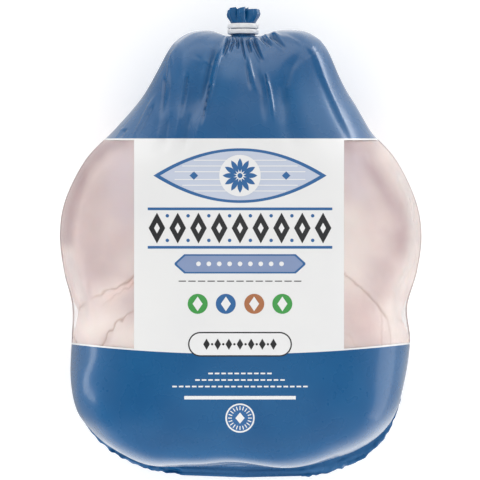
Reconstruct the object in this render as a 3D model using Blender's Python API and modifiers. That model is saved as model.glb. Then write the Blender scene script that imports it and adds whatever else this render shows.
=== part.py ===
"""Whole raw chicken in its tight printed bag, lying on its back, with the bag's neck wound shut.

The bird lies breast up. +Z points out of the breast, and +Y runs from the neck end of the bird
to the leg ends, where the bag is gathered, bound and ends in a short ruffle. The origin is on
the floor, under the middle of the bounding box. The film is tight on the bird, so the bag and
what it holds are one solid, and the strip wound round its neck is another.
"""

import math

import bmesh
import bpy
from mathutils import Vector

MM = 0.001

# Lofting table of the filled bag, in millimetres, from its bound neck to its far end. Each
# row is one section: where it crosses the flanks, the top and the underside along Y, its half
# width, its sideways shift, the heights of its top, underside and widest line, and how
# square it is (2 is an ellipse). The first rows fan out from the neck over the leg ends, so
# they lean back. An underside below zero is pressed flat by the floor.
SECTION_KEYS = (
    "flank_y", "top_y", "under_y", "half_width", "shift", "top", "under", "widest", "square",
)
SECTIONS = (
    (106.0, 106.0, 106.0, 6.2, 1.6, 58.2, 45.8, 52.0, 2.0),
    (106.0, 104.8, 105.0, 10.5, 1.7, 62.5, 42.3, 52.0, 2.0),
    (108.5, 102.2, 103.0, 17.5, 2.3, 68.8, 36.8, 53.0, 2.1),
    (106.9, 96.6, 97.8, 28.5, 3.4, 77.0, 29.0, 53.5, 2.2),
    (102.3, 89.6, 91.0, 35.8, 3.4, 82.5, 22.0, 54.0, 2.3),
    (96.9, 82.0, 83.4, 39.6, 2.9, 87.0, 16.0, 54.0, 2.35),
    (86.9, 72.5, 72.6, 44.6, 2.1, 91.0, 9.0, 53.0, 2.35),
    (72.8, 60.0, 60.0, 53.3, 1.8, 95.5, 3.0, 51.0, 2.35),
    (57.2, 46.0, 48.0, 66.0, 1.0, 100.0, -1.0, 49.0, 2.35),
    (41.6, 33.0, 36.0, 80.4, 0.4, 104.0, -2.5, 47.5, 2.35),
    (20.8, 16.0, 18.0, 90.7, 0.2, 107.5, -3.0, 46.5, 2.4),
    (2.6, 0.0, 0.0, 93.6, 0.2, 110.0, -3.0, 46.0, 2.4),
    (-15.6, -17.0, -17.0, 91.3, -0.2, 112.3, -3.0, 46.0, 2.4),
    (-33.8, -34.0, -34.0, 86.8, -1.0, 114.3, -3.0, 46.5, 2.45),
    (-52.0, -52.0, -52.0, 87.9, -0.2, 115.6, -3.0, 47.0, 2.55),
    (-72.8, -72.8, -72.8, 86.6, -1.3, 115.2, -2.5, 48.0, 2.75),
    (-88.0, -88.0, -88.0, 82.7, -1.6, 113.2, 0.0, 49.0, 2.85),
    (-98.8, -98.8, -98.8, 75.2, -1.3, 109.4, 5.0, 50.0, 2.8),
    (-106.5, -106.5, -106.5, 65.9, -2.2, 102.6, 12.0, 51.0, 2.75),
    (-112.2, -112.2, -112.2, 54.6, -3.0, 92.0, 22.0, 51.5, 2.7),
    (-115.7, -115.7, -115.7, 44.5, -2.4, 76.0, 34.0, 52.0, 2.5),
    (-117.3, -117.3, -117.3, 30.0, 0.5, 60.0, 44.5, 52.0, 2.3),
)
FAR_END = (1.5, -117.9, 52.0)

COLUMNS = 84
RINGS_PER_SECTION = 2

# Rounded swellings that the bird gives the film, in millimetres: where, how far, how wide.
SWELLINGS = {
    "left_hock": ((-28.0, 96.0, 66.0), 1.6, 14.0),
    "right_hock": ((36.0, 98.0, 67.0), 3.0, 13.0),
    "between_hocks": ((4.0, 84.0, 88.0), -2.5, 17.0),
    "left_thigh": ((-60.0, 14.0, 88.0), 2.0, 26.0),
    "right_thigh": ((60.0, 14.0, 88.0), 2.0, 26.0),
    "left_waist": ((-86.0, -44.0, 55.0), -1.0, 14.0),
    "right_waist": ((86.0, -32.0, 55.0), 1.2, 22.0),
}
SWELL_FROM = (0.0, 20.0, 45.0)

# Gathers that radiate from the neck: how many, how high, and the sections where they fade.
GATHERS = 16
GATHER_HEIGHT = 1.7
GATHER_FULL_AT, GATHER_GONE_AT = 1.6, 5.5

# Long pulled folds over the leg ends: direction in degrees round the neck, where the fold
# starts and ends along the sections, its height in millimetres and its half width in degrees.
LONG_FOLDS = (
    (104.0, 2.5, 8.5, 1.5, 5.0),
    (122.0, 3.0, 8.5, 1.4, 5.0),
    (138.0, 3.5, 9.0, 1.5, 5.5),
    (158.0, 4.0, 9.0, 1.2, 6.0),
    (75.0, 2.5, 7.5, 1.1, 6.0),
    (58.0, 3.0, 9.0, -1.8, 9.0),
    (36.0, 3.5, 9.0, 1.2, 7.0),
    (16.0, 4.0, 9.0, -1.0, 7.0),
    (215.0, 3.0, 8.5, 1.2, 7.0),
    (250.0, 3.0, 8.0, 1.3, 7.0),
    (285.0, 3.0, 8.0, 1.3, 7.0),
    (322.0, 3.0, 8.5, 1.2, 7.0),
)

# The neck and the ruffle of film above the strip, in millimetres: each row is one ring's
# place along Y, its radius, how deep the folds between its petals are as a share of that,
# and how far the petals stagger it along Y.
NECK_X, NECK_Z = 1.6, 52.0
RUFFLE = (
    (107.4, 6.2, 0.0, 0.0),
    (110.0, 6.0, 0.0, 0.0),
    (112.7, 6.2, 0.03, 0.0),
    (114.2, 7.1, 0.20, 0.2),
    (116.6, 8.5, 0.34, 0.6),
    (119.6, 8.3, 0.38, 1.2),
)
RUFFLE_FOLD_DEGREES = (72.0, 126.0, 205.0, 250.0, 305.0)
RUFFLE_FOLD_HALF_WIDTH = 15.0
RUFFLE_CUP_Y = 116.4

# The sealed edge that stands out round the far end, in millimetres: how wide it is by where
# the widest line of the bag is along X.
SEAM_WIDTHS = (
    (-84.0, 0.4), (-76.0, 1.5), (-64.0, 2.3), (-50.0, 3.3), (-38.0, 4.3), (-15.0, 5.8), (23.0, 5.8),
    (35.0, 6.0), (47.0, 6.5), (60.0, 6.9), (72.0, 4.2), (82.0, 0.8),
)
SEAM_NARROWEST = 0.3
SEAM_THICKNESS = 1.3
SEAM_INSET = 2.5
SEAM_FIRST_SECTION = 16
SEAM_STEPS = 56
SEAM_RIPPLE, SEAM_WAVE = 0.25, 0.6

# The strip wound round the neck, in millimetres. It starts just past the underside, and
# steps up to its second turn there, so that both turns lie square to the neck.
STRIP_WIDTH = 2.5
STRIP_THICKNESS = 1.5
STRIP_CORNER = 0.45
STRIP_LOWEST_Y = 106.9
STRIP_GAP = 0.4
STRIP_RADIUS_X, STRIP_RADIUS_Z = 7.45, 7.3
STRIP_START_DEGREES, STRIP_END_DEGREES = -55.0, 555.0
STRIP_RISE_DEGREES = (235.0, 300.0)
STRIP_STEPS = 56

FILM_BLUE = (0.05, 0.15, 0.35, 1.0)
STRIP_WHITE = (0.80, 0.80, 0.79, 1.0)


def clear_scene():
    for obj in list(bpy.data.objects):
        bpy.data.objects.remove(obj)


def make_material(name, colour, roughness, metallic=0.0):
    material = bpy.data.materials.new(name)
    material.use_nodes = True
    shader = material.node_tree.nodes["Principled BSDF"]
    shader.inputs["Base Color"].default_value = colour
    shader.inputs["Roughness"].default_value = roughness
    shader.inputs["Metallic"].default_value = metallic
    return material


def eased(value, low, high):
    """0 up to low, 1 from high, and a smooth rise between them."""
    share = min(1.0, max(0.0, (value - low) / (high - low)))
    return share * share * (3.0 - 2.0 * share)


def turned_from(direction, angle):
    """How many degrees an angle in radians is past a direction in degrees, within half a turn."""
    return (math.degrees(angle) - direction + 180.0) % 360.0 - 180.0


def section_at(place):
    """The lofting table between its rows, on a smooth curve. place is a row number."""
    last = len(SECTIONS) - 1
    row = min(int(place), last - 1)
    t = place - row
    before, start = SECTIONS[max(row - 1, 0)], SECTIONS[row]
    end, after = SECTIONS[row + 1], SECTIONS[min(row + 2, last)]
    values = [
        0.5 * (2 * b + (c - a) * t + (2 * a - 5 * b + 4 * c - d) * t * t + (3 * b - a - 3 * c + d) * t**3)
        for a, b, c, d in zip(before, start, end, after)
    ]
    return dict(zip(SECTION_KEYS, values))


def fold_height(place, angle):
    """How far the gathers and the long folds lift the film, in millimetres."""
    wander = angle + 0.10 * math.sin(3 * angle + 1.0) + 0.06 * math.sin(5 * angle + 2.0)
    crest = 1.0 - abs(math.sin(0.5 * GATHERS * wander))
    height = GATHER_HEIGHT * (crest - 0.36)
    height *= eased(place, 0.0, GATHER_FULL_AT) * (1.0 - eased(place, GATHER_FULL_AT, GATHER_GONE_AT))
    for direction, first, last, lift, half_width in LONG_FOLDS:
        off = turned_from(direction, angle)
        along = eased(place, first - 1.0, first + 1.0) * (1.0 - eased(place, last - 2.5, last))
        height += lift * along * math.exp(-((off / half_width) ** 2))
    return height


def swelling(point):
    """How far the bird under the film pushes this point of it outwards, in millimetres."""
    return sum(
        push * math.exp(-((point - Vector(centre)).length_squared) / (2.0 * spread * spread))
        for centre, push, spread in SWELLINGS.values()
    )


def bag_point(place, angle):
    """A point of the filled bag, in millimetres: place runs along the sections, angle round them."""
    row = section_at(place)
    c, s = math.cos(angle), math.sin(angle)
    reach = row["top"] - row["widest"] if s >= 0 else row["widest"] - row["under"]
    lean = (row["top_y"] if s >= 0 else row["under_y"]) - row["flank_y"]
    power = row["square"]
    radius = (abs(c / row["half_width"]) ** power + abs(s / reach) ** power) ** (-1.0 / power)
    radius += fold_height(place, angle)
    point = Vector((row["shift"] + radius * c, row["flank_y"] + lean * s * s, row["widest"] + radius * s))
    outward = (point - Vector(SWELL_FROM)).normalized()
    point += outward * swelling(point) * eased(place, 1.0, 3.0)
    point.z = max(point.z, 0.0)
    return point


def ruffle_point(ring, angle):
    """A point of the neck or of the ruffle above the strip, in millimetres."""
    y, radius, depth, stagger = ring
    for direction in RUFFLE_FOLD_DEGREES:
        off = turned_from(direction, angle)
        radius *= 1.0 - depth * math.exp(-((off / RUFFLE_FOLD_HALF_WIDTH) ** 2))
    y += stagger * math.cos(3 * angle + 1.0)
    return Vector((NECK_X + radius * math.cos(angle), y, NECK_Z + radius * math.sin(angle)))


def mesh_object(name, bm, material, collection, root):
    """An object from a mesh in millimetres, under the object that places the whole part."""
    bmesh.ops.scale(bm, vec=(MM, MM, MM), verts=bm.verts)
    bmesh.ops.recalc_face_normals(bm, faces=bm.faces)
    mesh = bpy.data.meshes.new(name)
    bm.to_mesh(mesh)
    bm.free()
    mesh.shade_smooth()
    mesh.materials.append(material)
    obj = bpy.data.objects.new(name, mesh)
    collection.objects.link(obj)
    obj.parent = root
    return obj


def add_modifier(obj, name, kind, **settings):
    modifier = obj.modifiers.new(name, kind)
    for key, value in settings.items():
        setattr(modifier, key, value)


def bridge(bm, rows, closed):
    """Quads between each row of vertices and the next. A closed row is a ring."""
    for row, following in zip(rows, rows[1:]):
        count = len(row)
        for i in range(count if closed else count - 1):
            j = (i + 1) % count
            bm.faces.new((row[i], row[j], following[j], following[i]))


def cap(bm, ring, centre):
    """A fan from the ring to one point."""
    point = bm.verts.new(centre)
    for i, vertex in enumerate(ring):
        bm.faces.new((vertex, ring[(i + 1) % len(ring)], point))


def build_filled_bag(material, collection, root):
    """The tight bag from its far end to the ruffle, as one closed loft of unlike sections."""
    angles = [math.tau * i / COLUMNS for i in range(COLUMNS)]
    steps = (len(SECTIONS) - 1) * RINGS_PER_SECTION
    bm = bmesh.new()
    rings = [
        [bm.verts.new(bag_point(step / RINGS_PER_SECTION, angle)) for angle in angles]
        for step in range(steps, -1, -1)
    ]
    rings += [[bm.verts.new(ruffle_point(ring, angle)) for angle in angles] for ring in RUFFLE]
    bridge(bm, rings, closed=True)
    cap(bm, rings[0], FAR_END)
    cap(bm, rings[-1], (NECK_X, RUFFLE_CUP_Y, NECK_Z))
    return mesh_object("bag", bm, material, collection, root)


def seam_path():
    """The widest line round the far end of the bag, from its left flank to its right."""
    last = len(SECTIONS) - 1
    span = last - SEAM_FIRST_SECTION
    path = []
    for step in range(-SEAM_STEPS // 2, SEAM_STEPS // 2 + 1):
        share = abs(step) / (SEAM_STEPS // 2)
        if step == 0:
            path.append(Vector(FAR_END))
        else:
            path.append(bag_point(last - span * share, math.pi if step < 0 else 0.0))
    return path


def seam_width(x):
    """How wide the sealed edge is where the bag's widest line is at x, in millimetres."""
    for (start, first), (end, last) in zip(SEAM_WIDTHS, SEAM_WIDTHS[1:]):
        if x <= end:
            return first + (last - first) * eased(x, start, end)
    return SEAM_WIDTHS[-1][1]


def build_seam(material, collection, root):
    """The sealed edge: a wavy ribbon that follows the far end and runs out at both flanks."""
    path = seam_path()
    bm = bmesh.new()
    rows = []
    for i, point in enumerate(path):
        along = path[min(i + 1, len(path) - 1)] - path[max(i - 1, 0)]
        out = Vector((along.y, -along.x, 0.0)).normalized()
        share = i / (len(path) - 1)
        swell = math.sin(math.pi * share)
        width = max(seam_width(point.x) + SEAM_RIPPLE * math.sin(23.0 * share), SEAM_NARROWEST)
        lift = Vector((0.0, 0.0, SEAM_WAVE * math.sin(31.0 * share) * swell))
        rows.append([bm.verts.new(point - out * SEAM_INSET), bm.verts.new(point + out * width + lift)])
    bridge(bm, rows, closed=False)
    seam = mesh_object("seam", bm, material, collection, root)
    seam.hide_render = True
    seam.display_type = "WIRE"
    add_modifier(seam, "film_layers", "SOLIDIFY", thickness=SEAM_THICKNESS * MM, offset=0.0)
    return seam


def build_clip(material, collection, root):
    """The strip, wound nearly twice round the gathered neck."""
    bm = bmesh.new()
    rows = []
    for step in range(STRIP_STEPS + 1):
        degrees = STRIP_START_DEGREES + (STRIP_END_DEGREES - STRIP_START_DEGREES) * step / STRIP_STEPS
        lowest = STRIP_LOWEST_Y + eased(degrees, *STRIP_RISE_DEGREES) * (STRIP_WIDTH + STRIP_GAP)
        x = NECK_X + STRIP_RADIUS_X * math.cos(math.radians(degrees))
        z = NECK_Z + STRIP_RADIUS_Z * math.sin(math.radians(degrees))
        rows.append([bm.verts.new((x, lowest, z)), bm.verts.new((x, lowest + STRIP_WIDTH, z))])
    bridge(bm, rows, closed=False)
    clip = mesh_object("clip", bm, material, collection, root)
    add_modifier(clip, "thickness", "SOLIDIFY", thickness=STRIP_THICKNESS * MM, offset=0.0)
    add_modifier(
        clip, "rounding", "BEVEL",
        width=STRIP_CORNER * MM, segments=1, limit_method="ANGLE", angle_limit=math.radians(50.0),
    )
    return clip


def stand_on_floor(objects, root):
    """Moves the whole part so that the origin is on the floor under the middle of its box."""
    graph = bpy.context.evaluated_depsgraph_get()
    corners = [Vector(corner) for obj in objects for corner in obj.evaluated_get(graph).bound_box]
    low = Vector(min(corner[k] for corner in corners) for k in range(3))
    high = Vector(max(corner[k] for corner in corners) for k in range(3))
    root.location = (-(low.x + high.x) / 2, -(low.y + high.y) / 2, -low.z)


def main():
    clear_scene()
    pack = bpy.data.collections.new("whole_chicken_in_bag")
    cutters = bpy.data.collections.new("joined_shapes")
    for collection in (pack, cutters):
        bpy.context.scene.collection.children.link(collection)
    root = bpy.data.objects.new("whole_chicken_root", None)
    pack.objects.link(root)
    film = make_material("printed_film", FILM_BLUE, 0.30)
    strip = make_material("strip_white", STRIP_WHITE, 0.35)
    bag = build_filled_bag(film, pack, root)
    seam = build_seam(film, cutters, root)
    add_modifier(bag, "seam", "BOOLEAN", operation="UNION", solver="EXACT", object=seam)
    clip = build_clip(strip, pack, root)
    stand_on_floor([bag, clip], root)


main()
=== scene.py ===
# A whole raw chicken in its tight printed bag, seen from straight above.
# The film, its folds, the seam and the ruffle are lofted in mesh code from the same sections
# as the frame. The bird under the clear windows is the same loft, drawn in and creased.
# Points are worked out in millimetres in the bag's own axes and placed on the frame last.

import math

import bmesh
import bpy
import numpy as np
from mathutils import Matrix, Vector


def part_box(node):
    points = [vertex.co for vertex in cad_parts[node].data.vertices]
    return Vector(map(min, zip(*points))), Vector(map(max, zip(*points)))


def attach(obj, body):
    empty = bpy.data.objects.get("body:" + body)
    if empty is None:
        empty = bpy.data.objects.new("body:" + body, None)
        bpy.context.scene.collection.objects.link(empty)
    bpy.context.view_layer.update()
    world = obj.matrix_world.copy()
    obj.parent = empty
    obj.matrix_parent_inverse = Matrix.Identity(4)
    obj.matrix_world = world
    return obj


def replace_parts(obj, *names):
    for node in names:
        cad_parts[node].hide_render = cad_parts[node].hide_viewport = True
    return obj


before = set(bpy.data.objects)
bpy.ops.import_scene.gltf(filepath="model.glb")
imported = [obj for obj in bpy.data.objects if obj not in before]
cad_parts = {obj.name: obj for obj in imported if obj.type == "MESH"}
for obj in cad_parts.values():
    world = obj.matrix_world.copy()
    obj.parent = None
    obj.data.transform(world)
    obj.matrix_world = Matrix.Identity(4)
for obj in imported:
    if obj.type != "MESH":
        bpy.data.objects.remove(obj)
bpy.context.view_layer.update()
print("frame loaded:", ", ".join(sorted(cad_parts)))

mm = 0.001
stripLow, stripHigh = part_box("clip")
stripMiddle = Vector((1.6, 109.6, 52))  # the strip's middle in the bag's own millimetres
origin = (stripLow + stripHigh) / 2 - stripMiddle * mm
# a stout poultry bag, drawn a little thicker than its 60 microns
film = {"thickness": 0.08, "sharpDegrees": 65}

camera = {
    "height": 1450, "flankHeight": 52, "pixel": 0.52, "photoWidth": 480, "sensor": 36.0,
    "clip": (0.05, 20),  # metres
}

# One row for each section from the bound neck to the far end: where it crosses the flanks,
# the top and the underside along Y, half width, sideways shift, top, underside and widest
# heights, and how square it is. These are the frame's own sections.
bagForm = {
    "sections": np.array([
        (106, 106, 106, 6.2, 1.6, 58.2, 45.8, 52, 2),
        (106, 104.8, 105, 10.5, 1.7, 62.5, 42.3, 52, 2),
        (108.5, 102.2, 103, 17.5, 2.3, 68.8, 36.8, 53, 2.1),
        (106.9, 96.6, 97.8, 28.5, 3.4, 77, 29, 53.5, 2.2),
        (102.3, 89.6, 91, 35.8, 3.4, 82.5, 22, 54, 2.3),
        (96.9, 82, 83.4, 39.6, 2.9, 87, 16, 54, 2.35),
        (86.9, 72.5, 72.6, 44.6, 2.1, 91, 9, 53, 2.35),
        (72.8, 60, 60, 53.3, 1.8, 95.5, 3, 51, 2.35),
        (57.2, 46, 48, 66, 1, 100, -1, 49, 2.35),
        (41.6, 33, 36, 80.4, 0.4, 104, -2.5, 47.5, 2.35),
        (20.8, 16, 18, 90.7, 0.2, 107.5, -3, 46.5, 2.4),
        (2.6, 0, 0, 93.6, 0.2, 110, -3, 46, 2.4),
        (-15.6, -17, -17, 91.3, -0.2, 112.3, -3, 46, 2.4),
        (-33.8, -34, -34, 86.8, -1, 114.3, -3, 46.5, 2.45),
        (-52, -52, -52, 87.9, -0.2, 115.6, -3, 47, 2.55),
        (-72.8, -72.8, -72.8, 86.6, -1.3, 115.2, -2.5, 48, 2.75),
        (-88, -88, -88, 82.7, -1.6, 113.2, 0, 49, 2.85),
        (-98.8, -98.8, -98.8, 75.2, -1.3, 109.4, 5, 50, 2.8),
        (-106.5, -106.5, -106.5, 65.9, -2.2, 102.6, 12, 51, 2.75),
        (-112.2, -112.2, -112.2, 54.6, -3, 92, 22, 51.5, 2.7),
        (-115.7, -115.7, -115.7, 44.5, -2.4, 76, 34, 52, 2.5),
        (-117.3, -117.3, -117.3, 30, 0.5, 60, 44.5, 52, 2.3),
    ]),
    "farEnd": (1.5, -117.9, 52),
    "neck": (1.6, 52),  # X and Z of the gathered neck
    # centre, push and spread of each swelling that the bird gives the film
    "swellings": [
        ((-28, 96, 66), 1.6, 14),
        ((36, 98, 67), 3, 13),
        ((4, 84, 88), -2.5, 17),
        ((-60, 14, 88), 2, 26),
        ((60, 14, 88), 2, 26),
        ((-86, -44, 55), -1, 14),
        ((86, -32, 55), 1.2, 22),
    ],
    "swellFrom": (0, 20, 45),
    "swellRise": (1, 3),  # sections
}
lastSection = len(bagForm["sections"]) - 1


# From 0 to 1 between low and high, gently at both ends.
def eased(value, low, high):
    share = np.clip((value - low) / (high - low), 0, 1)
    return share * share * (3.0 - 2.0 * share)


# Rises over the start of a path and falls again over its end.
def fadedEnds(share, rise, fall):
    return eased(share, 0, rise) * (1.0 - eased(share, fall, 1))


def bell(distance, halfWidth):
    return np.exp(-((distance / halfWidth) ** 2))


# The section table between its rows, on a smooth curve. place is a row number.
def sectionAt(place):
    table = bagForm["sections"]
    row = np.clip(np.floor(place).astype(int), 0, lastSection - 1)
    t = (place - row)[..., None]
    a, b = table[np.maximum(row - 1, 0)], table[row]
    c, d = table[row + 1], table[np.minimum(row + 2, lastSection)]
    bent = 2 * b + (c - a) * t + (2 * a - 5 * b + 4 * c - d) * t**2 + (3 * b - a - 3 * c + d) * t**3
    return np.moveaxis(0.5 * bent, -1, 0)


def matched(place, angle):
    return np.broadcast_arrays(np.asarray(place, float), np.asarray(angle, float))


# A point of the tight bag with no folds: place runs along the sections, angle round them.
def tightForm(place, angle, relief=0):
    place, angle = matched(place, angle)
    flankY, topY, underY, halfWidth, shift, top, under, widest, power = sectionAt(place)
    c, s = np.cos(angle), np.sin(angle)
    reach = np.where(s >= 0, top - widest, widest - under)
    lean = np.where(s >= 0, topY, underY) - flankY
    radius = (np.abs(c / halfWidth) ** power + np.abs(s / reach) ** power) ** (-1.0 / power) + relief
    points = np.stack([shift + radius * c, flankY + lean * s * s, widest + radius * s], axis=-1)
    away = points - np.array(bagForm["swellFrom"])
    away /= np.linalg.norm(away, axis=-1, keepdims=True)
    push = np.zeros(points.shape[:-1])
    for centre, height, spread in bagForm["swellings"]:
        push += height * np.exp(-((points - np.array(centre)) ** 2).sum(-1) / (2.0 * spread**2))
    return points + away * (push * eased(place, *bagForm["swellRise"]))[..., None]


# The direction in which the tight form faces.
def outwardAt(place, angle):
    place, angle = matched(place, angle)
    step, turn = 0.02, 0.01
    before, after = np.maximum(place - step, 0), np.minimum(place + step, lastSection)
    along = tightForm(after, angle) - tightForm(before, angle)
    across = tightForm(place, angle + turn) - tightForm(place, angle - turn)
    normal = np.cross(across, along)
    return normal / np.maximum(np.linalg.norm(normal, axis=-1, keepdims=True), 1e-9)


# Where the camera sees a point, in millimetres on the level of the bag's widest line.
def seenAt(points):
    scale = (camera["height"] - camera["flankHeight"]) / (camera["height"] - points[..., 2])
    return points[..., :2] * scale[..., None]


# Distance from flat points to a path, how far along the path the nearest place is, and on which
# side of the path they lie.
def pathDistance(flat, path):
    path = np.array(path, float)
    lengths = np.linalg.norm(np.diff(path, axis=0), axis=1)
    run = np.concatenate([[0], np.cumsum(lengths)])
    best = np.full(flat.shape[:-1], 1e9)
    share = np.zeros(flat.shape[:-1])
    side = np.zeros(flat.shape[:-1])
    for start, end, length, before in zip(path, path[1:], lengths, run):
        leg = end - start
        t = np.clip(((flat - start) @ leg) / length**2, 0, 1)
        gap = flat - start - t[..., None] * leg
        distance = np.linalg.norm(gap, axis=-1)
        nearer = distance < best
        best = np.where(nearer, distance, best)
        share = np.where(nearer, (before + t * length) / run[-1], share)
        side = np.where(nearer, np.sign(leg[0] * gap[..., 1] - leg[1] * gap[..., 0]), side)
    return best, share, side


# Smooth repeatable unevenness from a few sine waves, about -1 to 1.
def unevenness(x, y, waveLength, seed):
    draw = np.random.default_rng(seed)
    total = np.zeros(np.broadcast(x, y).shape)
    waves = 7
    for _ in range(waves):
        turn = draw.uniform(0, math.tau)
        pace = math.tau / (waveLength * draw.uniform(0.7, 1.6))
        total += np.sin(pace * (x * math.cos(turn) + y * math.sin(turn)) + draw.uniform(0, math.tau))
    return total / math.sqrt(waves * 2)


# The folds of the film, by where they are seen from above. A pleat is a narrow slit that tapers
# to its far end between two raised rims: path, depth, half width. Ridges and hollows are
# rounded: path, height, half width, or one on the left of the path and one on the right.
# "around" are the gathers that fan out from the neck all the way round; the drawn folds take
# their place on the top.
folds = {
    "around": {"count": 21, "height": 2.3, "fullAt": 1.8, "goneAt": 5.2},
    "facing": (0.02, 0.25),  # how far up the film has to face to take the drawn folds
    "ends": (0.35, 0.6),  # shares of a path over which ridges and hollows rise and begin to fall
    "windowEnds": (0.22, 0.75),
    "rimShare": 0.38,
    "pleats": [
        ([(-5, 105.6), (-6.7, 101.5), (-8.7, 95.5)], 2.2, 1.25),
        ([(-2.9, 105.4), (-5.2, 97.6)], 1.6, 0.95),
        ([(-1.6, 105.6), (-1.1, 99.2)], 1.7, 0.95),
        ([(0.2, 106.2), (1.3, 100.4), (2.8, 93)], 1.3, 0.7),
        ([(3.4, 105), (5.7, 97.2)], 1.7, 1),
        ([(6.2, 106), (8.3, 100.4), (11.5, 93.2)], 2.2, 1.3),
        ([(10.6, 106.2), (13, 103.6), (16.3, 100.3)], 1.7, 1.5),
        ([(15.2, 106.8), (18.7, 104.2), (23.6, 99.4)], 1.8, 1.5),
        ([(-14.8, 85), (-17, 74.6), (-20.1, 59.6)], 1.5, 1),
        ([(-38.9, 86.5), (-39.6, 75.4), (-40.5, 62.6)], 1.3, 0.9),
        ([(-36, 96.2), (-36.5, 74)], 0.8, 0.7),
        ([(-27.2, 88), (-28.6, 75.9), (-30.5, 63.6)], 1.1, 0.95),
        ([(-44.3, 71.5), (-48.9, 62.4), (-53.4, 52)], 0.9, 0.8),
        ([(-59.6, 58), (-63.8, 51.5)], 0.9, 0.9),
        ([(13, 87), (14.2, 80), (15, 72)], 0.7, 0.6),
    ],
    "ridges": [
        ([(-6.4, 106.5), (-10.2, 96.5), (-12.8, 88), (-15.2, 77), (-18.4, 64)], 1.3, 0.9),
        ([(-32.6, 102), (-35.4, 96.9), (-36.3, 90.5), (-37.2, 80.2), (-39.5, 66)], 1.1, 0.8),
        ([(-39.8, 72), (-41.8, 60), (-45, 44)], 0.9, 2.2),
        ([(-30, 72), (-32.2, 60), (-35, 44)], 0.9, 2.2),
        ([(-19.4, 69), (-21.6, 58), (-24.5, 44)], 0.9, 2.4),
        ([(-41.5, 79), (-47, 70), (-51.4, 61), (-55.3, 53.3), (-58, 46)], 0.9, 0.8),
        ([(13.9, 109.2), (21.3, 105.9), (29.6, 101.8)], 0.5, 0.9),
        ([(20.4, 107.9), (34.8, 100.2)], 0.5, 0.9),
        ([(1.6, 103), (4.4, 94.6), (6.2, 86.8), (9, 75.4)], 0.8, 0.9),
        ([(13.4, 88), (15.6, 78), (16.6, 72), (18, 60)], 0.8, 0.8),
        ([(30, 108), (38, 97), (41.6, 86), (46.4, 75), (51.6, 64), (62, 46)], 1.5, (14, 1.1)),
        ([(37, 110), (45.5, 102.5), (50.5, 91.5), (55.5, 80), (61.5, 68.5), (74, 48)], 2.4, (5.5, 8.5)),
    ],
    "hollows": [
        ([(-8.8, 106.4), (-12.2, 100.4), (-14.6, 91.5), (-17.4, 80), (-20.4, 66)], 2.3, 1.9),
        ([(-12, 104), (-19.8, 94), (-21.8, 82), (-25.5, 56)], 2.4, 5.4),
        ([(36, 101), (30.5, 96.6), (26.4, 90), (22.8, 80), (24, 58)], 1.2, 2.6),
        ([(9, 92), (12.3, 76), (13.5, 58)], 0.9, 1.8),
        ([(20, 86), (23.9, 66.6), (28, 42)], 1.2, 4.4),
        ([(-9.4, 84), (-9.4, 42)], 0.6, 6),
        ([(-35.8, 68), (-39.6, 44)], 0.7, 1.4),
        ([(-25.6, 68), (-29.4, 44)], 0.7, 1.4),
        ([(3.2, 93), (5.6, 77)], 0.6, 0.8),
    ],
}

# Slack of the film between two sections past the neck, and its ripple over the breast: height
# and wave length, then where each begins and ends.
slackFilm = {"height": 0.25, "waveLength": 11, "turn": 34, "rise": (1.5, 3.5), "fall": (7.5, 9.5)}
breastRipple = {"height": 0.3, "waveLength": 34, "rise": (14, 15.5)}

# The roll of slack film over the breast end, above the sealed edge, and the places just above
# that edge where the end swells or sinks: X, height, spread.
endRoll = {"section": 18.4, "height": 1.9, "spread": 1, "turn": (0.35, 0.75)}
endDents = {
    "rise": (18.2, 20),
    "fall": (lastSection - 0.6, lastSection),
    "places": ((-46, 0.5, 9), (-26, -0.2, 8), (0, -1.3, 9), (27, 0.7, 11), (48, -0.6, 9)),
}

# Soft dents and swellings of the film over the breast end, by where they are seen.
filmDents = [
    ((-84, -58), -1, 7),
    ((-66, -66), 0.8, 9),
    ((62, -62), 0.8, 10),
    ((78, -70), -0.6, 8),
    ((-46, -112), 0.8, 8),
    ((-8, -112), -1.2, 8),
    ((22, -113), 0.9, 8),
    ((50, -109), -1, 7),
]

# Fine lines where the clear film bridges the waist from the thigh to the breast.
windowFolds = [
    ([(-92, 2), (-90.8, -18), (-86.6, -38), (-86, -54)], 0.6, 1.1),
    ([(-90, -8), (-87, -24), (-83.4, -40)], 0.4, 0.9),
    ([(-85, -34), (-84, -54)], 0.35, 0.9),
    ([(88, -14), (84.5, -30), (84, -50)], 0.6, 1.1),
    ([(80, -36), (85.5, -53)], 0.4, 0.9),
    ([(73.5, -44), (74.5, -55)], 0.3, 0.8),
]


# How far the drawn folds lift the film at points that are seen at these flat places.
def drawnFolds(flat):
    lift = np.zeros(flat.shape[:-1])
    for path, depth, halfWidth in folds["pleats"]:
        distance, share, _ = pathDistance(flat, path)
        taper = eased(share, 0, 0.18) * (1.0 - share) ** 0.55
        across = distance / (halfWidth * (0.6 + 0.4 * taper))
        lift -= depth * taper * np.exp(-(across**2) * 1.6)
        lift += depth * folds["rimShare"] * taper * bell(across - 1.5, 0.6)
    for sign, kind in ((1, "ridges"), (-1, "hollows")):
        for path, height, halfWidth in folds[kind]:
            distance, share, side = pathDistance(flat, path)
            left, right = halfWidth if isinstance(halfWidth, tuple) else (halfWidth, halfWidth)
            reach = bell(distance, np.where(side > 0, left, right))
            lift += sign * height * fadedEnds(share, *folds["ends"]) * reach
    for path, height, halfWidth in windowFolds:
        distance, share, _ = pathDistance(flat, path)
        reach = np.exp(-1.5 * distance / halfWidth) * (distance < 6 * halfWidth)
        lift += height * fadedEnds(share, *folds["windowEnds"]) * reach
    for (x, y), height, spread in filmDents:
        gap = (flat[..., 0] - x) ** 2 + (flat[..., 1] - y) ** 2
        lift += height * np.exp(-gap / (2.0 * spread**2))
    return lift


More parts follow.
